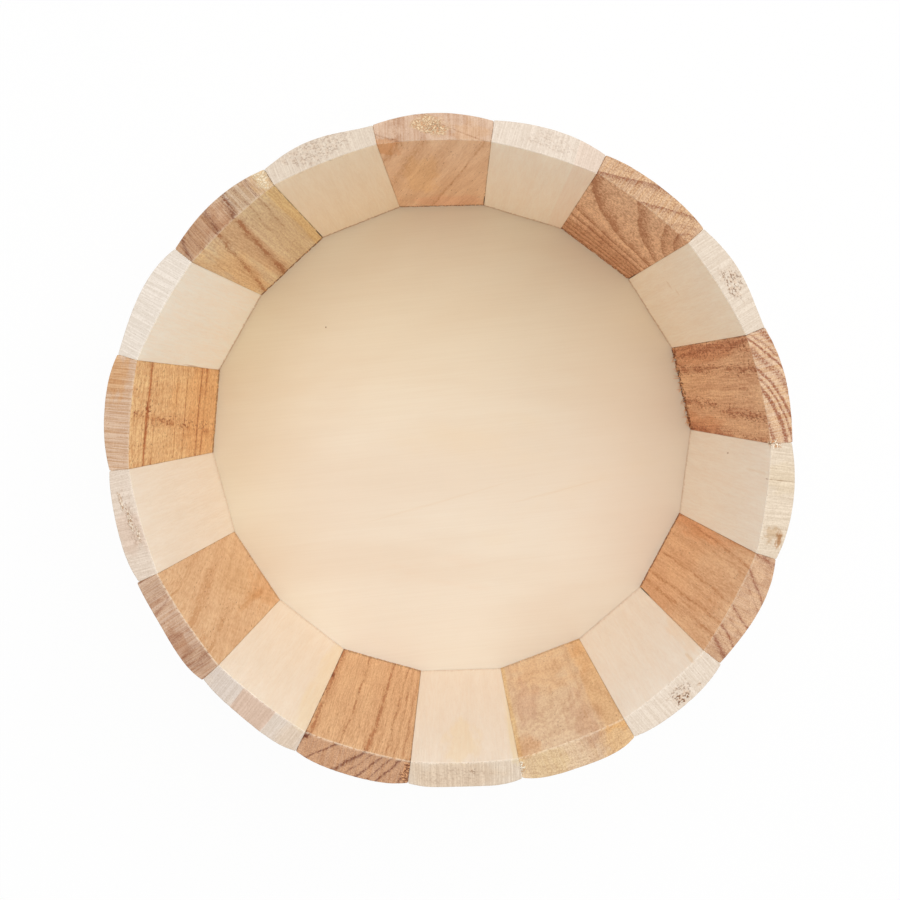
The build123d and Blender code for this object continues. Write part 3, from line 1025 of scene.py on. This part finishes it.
pale_looks = {
    2: dict(
        face=(255, 246, 228), shade=(249, 233, 211), rim=(229, 215, 200), rim_shade=(209, 193, 176),
        specks=(((1, 6, 0), (10, 3, 4), 0.2),), foot_dark=0.8, arris_share=0.1,
        patches=(((24, 4, -50), (13.2, 60, 400), 0.55, (250, 239, 234), 0.02),),
    ),
    4: dict(
        face=(255, 246, 228), shade=(249, 233, 211), rim=(226, 212, 195), rim_shade=(206, 189, 170),
        specks=(((1, 6, 0), (6, 3, 4), 0.7),), foot_dark=0.7, arris_share=0.1,
        patches=(
            ((-9, 0, -58), (2.0, 2, 1.2), 0.22, (214, 184, 156)),
            ((-5, 0, -53), (1.4, 2, 1.2), 0.18, (220, 190, 160)),
        ),
    ),
    6: dict(
        face=(255, 248, 235), shade=(250, 236, 219), rim=(229, 213, 192), rim_shade=(203, 185, 162),
        sheets=((-7.2, 0, 0, 0.14, 0.8, 3),), foot_dark=0.45, arris_share=0.2,
        patches=(
            ((14.4, 7.4, 0), (2.4, 1.0, 4), 0.9, (208, 170, 132), 0.5),
            ((12.6, 5, 0), (2.4, 2.6, 3), 0.8, (226, 208, 186), 0.6),
            ((-13, 0, -53.5), (0.3, 2, 1.2), 0.7, (180, 150, 128)),
            ((-9, 0, -14), (0.6, 2, 9), 0.3, (236, 218, 196), 0.6),
        ),
        rim_patches=(((-8, 5), (5, 9), 0.25, (255, 248, 224)),),
        torn_spots=(((-19.8, 1.2, 0), (1.2, 2.6, 3), (252, 236, 214), (196, 150, 110)),),
    ),
    8: dict(
        face=(255, 248, 236), shade=(250, 237, 221), rim=(229, 215, 199), rim_shade=(209, 192, 173),
        specks=(
            ((-2.4, 8.2, 0), (3.4, 1.8, 4), 1.0), ((-3, 5.6, 0), (5, 2.2, 4), 0.5),
            ((-10, 8.4, 0), (1, 0.7, 2), 0.9), ((7.8, 0.3, 0), (0.7, 0.6, 2), 1.2),
        ),
        patches=(
            ((-13.5, 0, -5), (0.6, 2, 6), 0.5, (236, 216, 186)),
            ((-18, 0, -30), (4, 3, 30), 0.6, (255, 244, 232)),
        ),
        foot_dark=0.35,
    ),
    10: dict(
        face=(252, 242, 227), shade=(246, 231, 212), rim=(228, 212, 192), rim_shade=(205, 187, 167),
        specks=(((-3, 4.2, 0), (1.2, 2.6, 4), 0.45), ((3, 6, 0), (12, 3, 4), 0.2)), saw_share=0.7,
        patches=(
            ((1, 0, -22), (6, 3, 22), 0.5, (255, 247, 224)),
            ((-19, 0, -50), (2.2, 3, 90), 0.7, (255, 250, 226)),
        ),
        rim_patches=(((3, 5), (15, 10), 0.6, (246, 236, 224)),),
    ),
    12: dict(
        face=(252, 241, 224), shade=(246, 230, 208), rim=(223, 209, 196), rim_shade=(203, 187, 171),
        patches=(((-17, 0, -60), (4, 3, 80), 0.5, (255, 250, 230)),),
        rim_patches=(
            ((0.3, 5), (7.4, 30), 0.75, (242, 220, 206), 0.05), ((-17, 5), (4, 9), 0.5, (252, 240, 222)),
            ((14, 5), (6, 9), 0.5, (240, 240, 244)),
        ),
    ),
    14: dict(
        face=(252, 242, 226), shade=(246, 231, 210), rim=(226, 210, 194), rim_shade=(204, 186, 168),
        specks=(((2, 4.4, 0), (9, 2, 4), 0.3),),
        rim_patches=(((-3, 5), (8, 6), 0.6, (246, 234, 228)),),
        torn_spots=(
            ((-4.2, 3.0, 0), (3.2, 0.6, 4), (240, 222, 200), (184, 150, 122)),
            ((1.8, 4.6, 0), (4.0, 0.8, 4), (240, 222, 200), (180, 146, 118)),
            ((9.0, 6.0, 0), (3.2, 0.6, 4), (240, 222, 200), (190, 156, 128)),
        ),
    ),
    16: dict(
        face=(255, 253, 241), shade=(255, 243, 224), rim=(230, 219, 207), rim_shade=(211, 199, 185),
        patches=(((-18.3, 0, -74), (0.3, 2, 13), 0.7, (214, 186, 160)),), saw_share=0.65, foot_dark=0.8,
    ),
    18: dict(
        face=(254, 240, 215), shade=(247, 228, 199), rim=(222, 208, 190), rim_shade=(202, 185, 167),
        specks=(((-2, 6, 0), (12, 4.4, 4), 0.36),), foot_dark=0.9, arris_share=0.1,
    ),
}
pale_wear = {
    2: dict(crown=(7.7, 9.7, 10.5, 9.8, 7.2), torn_lip=0.2),
    4: dict(crown=(7.5, 9.8, 10.3, 9.0, 7.2), torn_lip=0.2, rough_rim=0.3),
    6: dict(crown=(7.5, 10.0, 10.9, 10.2, 7.5), torn_lip=0.1),
    8: dict(crown=(8.0, 10.4, 10.9, 10.2, 7.8), rough_rim=0.2),
    10: dict(crown=(7.5, 9.9, 10.0, 9.9, 8.1), rough_rim=0.1),
    12: dict(crown=(8.0, 10.2, 10.2, 9.6, 7.7), rough_rim=0.3),
    14: dict(crown=(7.4, 9.7, 9.9, 9.1, 7.0), rough_rim=0.1),
    16: dict(crown=(7.1, 9.4, 10.8, 10.6, 7.6), torn_lip=0.15),
    18: dict(crown=(6.4, 9.2, 9.9, 8.6, 6.9), torn_lip=0.2),
}
for number, looks in pale_looks.items():
    stave = make_stave(number, **pale_wear[number])
    stave.data.materials.append(pale_material(number, **looks))
    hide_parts(f"stave_{number:02d}")
    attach(stave, "root")

# The base panel is a disc of thin plywood, faced with a pale rotary-cut veneer. It sits loose in
# the groove, and the staves were glued up round it.
panel_margin = 1.0 * mm
panel_edge_ease = 0.4 * mm
panel_hollow = 0.04 * mm
panel_reach = floor_corner_radius * np.cos(np.pi / stave_count)
panel_grid = 130
panel_layers = np.array((0, 0.08, 0.3, 0.7, 0.92, 1))


def make_panel():
    """The plywood disc: a square of grid points drawn out to an oval, its top and bottom edges chamfered.

    A point (u, v) of the square goes to (u root(1 - v v / 2), v root(1 - u u / 2)) of the disc.
    """
    i, j, k, faces = shell_of_box((panel_grid, panel_grid, len(panel_layers)))
    heights = (panel_height + panel_thickness * panel_layers)[k]
    u, v = np.linspace(-1, 1, panel_grid)[i], np.linspace(-1, 1, panel_grid)[j]
    disc_x, disc_y = u * np.sqrt(1 - v**2 / 2), v * np.sqrt(1 - u**2 / 2)
    on_edge = np.isin(i, (0, panel_grid - 1)) | np.isin(j, (0, panel_grid - 1))
    at_bottom, at_top = k == 0, k == len(panel_layers) - 1
    trim = np.where(on_edge & (at_bottom | at_top), panel_edge_ease, 0) + panel_margin - croze_depth
    along = disc_x * (panel_reach * (1 + floor_oval_share) - trim)
    aside = disc_y * (panel_reach * (1 - floor_oval_share) - trim)
    turn = np.pi / 2 - long_axis_turn
    x, y = along * np.cos(turn) - aside * np.sin(turn), along * np.sin(turn) + aside * np.cos(turn)
    hollow = panel_hollow * (1 + np.clip(wander(np.stack((x, y), axis=-1) / mm, 70, 5), -1, 1))
    heights = heights + hollow * at_bottom - hollow * at_top
    return mesh_of("plywood_base_panel", np.stack((x, y, heights), axis=-1), faces)


# Places on the panel are in millimetres to the right and up the picture. The veneer's figure runs
# six degrees off that. Painted light: its left and its upper side are warmed as light from the walls
# would warm them, and its right side is painted lighter, against the walls' shade there.
veneer_turn = np.radians(6)
veneer_zones = (
    ((-7, -59, 0), (28, 8, 9), 0.4, (255, 246, 240), 0.6),
    ((30, -10, 0), (50, 26, 9), 0.5, (255, 250, 240), 0.6),
)
veneer_lines = (((0.6, -25.5, 0), 15.8, 34, 0.2), ((48.5, -21.8, 0), 14.6, 18, 0.25))
pin_knot_middle, pin_knot_half_size = (-54.7, 49, 10), (0.32, 0.32, 20)

material, tree, shader = start_material("base_veneer")
veneer_place = place_on(tree, turn=(0, 0, veneer_turn))
floor_place = place_on(tree)
fine = cloud(veneer_place, (40, 0.6, 5), 4, 0.65)
broad = cloud(veneer_place, (110, 40, 5), 3, 0.55, 0.4)
colour = blended(fade(broad, 0.35, 0.65), (222, 213, 197), (219, 207, 189))
colour = blended(fade(fine, 0.4, 0.62) * 0.09, colour, (206, 186, 160))
across, upwards = parts_of(floor_place)[:2]
# Painted light: lighter to the right, warmer to the top and to the left
colour = blended(fade(across, 30, 100) * 0.5, colour, (238, 223, 203))
colour = blended(fade(upwards, -30, 70), colour, (255, 250, 237), "MULTIPLY")
colour = blended(fade(across, -45, -100), colour, (249, 246, 237), "MULTIPLY")
colour = patched(floor_place, colour, veneer_zones)
for middle, slant, half_length, share in veneer_lines:
    line_place = place_on(tree, Vector(middle) * mm, (0, 0, np.radians(slant)))
    colour = patched(line_place, colour, (((0, 0, 0), (half_length, 0.5, 40), share, (246, 232, 214), 0.5),))
colour = blended(patch_mask(floor_place, pin_knot_middle, pin_knot_half_size, 0.3), colour, (138, 106, 80))
dress(shader, colour, roughness=0.6, rise=fine * 0.04, relief_strength=0.5)
panel = make_panel()
panel.data.materials.append(material)
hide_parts("base_panel")
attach(panel, "root")

# The studio: a plain white table, a large soft lamp high over the top side of the picture, and
# the white room itself. Table and room look white to the camera, whatever light they give.
table_reach = 3.0
table_grey = (0.82, 0.82, 0.82, 1)
table_white_share = 0.94
room_strength = 0.605
white = (1, 1, 1, 1)
corners = [(x * table_reach, y * table_reach, 0) for x, y in ((-1, -1), (1, -1), (1, 1), (-1, 1))]
table_mesh = bpy.data.meshes.new("white_table")
table_mesh.from_pydata(corners, [], [(0, 1, 2, 3)])
table = bpy.data.objects.new("white_table", table_mesh)
bpy.context.scene.collection.objects.link(table)
material, tree, shader = start_material("white_table")
tree.nodes.remove(shader)
matt = node(tree, "BsdfDiffuse", Color=table_grey)[0]
shown = node(tree, "Emission", Color=white, Strength=1.0)[0]
rays = named(node(tree, "LightPath"))
seen = larger(rays["Is Camera Ray"], larger(rays["Is Glossy Ray"], rays["Is Transmission Ray"]))
surface = node(tree, "MixShader", input0=seen * table_white_share, input1=matt, input2=shown)[0]
feed(surface, tree.nodes["Material Output"].inputs["Surface"])
table_mesh.materials.append(material)

room = bpy.data.worlds.new("white_room")
bpy.context.scene.world = room
room.use_nodes = True
tree = room.node_tree
tree.nodes.remove(tree.nodes["Background"])
given_off = node(tree, "Background", Color=white, Strength=room_strength)[0]
shown = node(tree, "Background", Color=white, Strength=1.0)[0]
rays = named(node(tree, "LightPath"))
seen = larger(rays["Is Camera Ray"], rays["Is Transmission Ray"])
surface = node(tree, "MixShader", input0=seen, input1=given_off, input2=shown)[0]
feed(surface, tree.nodes["World Output"].inputs["Surface"])


def soft_lamp(name, place, size, watts):
    """A square soft box at this place, facing the middle of the tub."""
    lamp = bpy.data.lights.new(name, "AREA")
    lamp.shape = "SQUARE"
    lamp.size = size
    lamp.energy = watts
    holder = bpy.data.objects.new(name, lamp)
    holder.location = place
    facing = Vector((0, 0, tub_height / 2)) - Vector(place)
    holder.rotation_euler = facing.to_track_quat("-Z", "Y").to_euler()
    bpy.context.scene.collection.objects.link(holder)


soft_lamp("soft_box", place=(0.25, 0.4, 1.5), size=1.4, watts=18)

bpy.context.scene.view_settings.view_transform = "Standard"
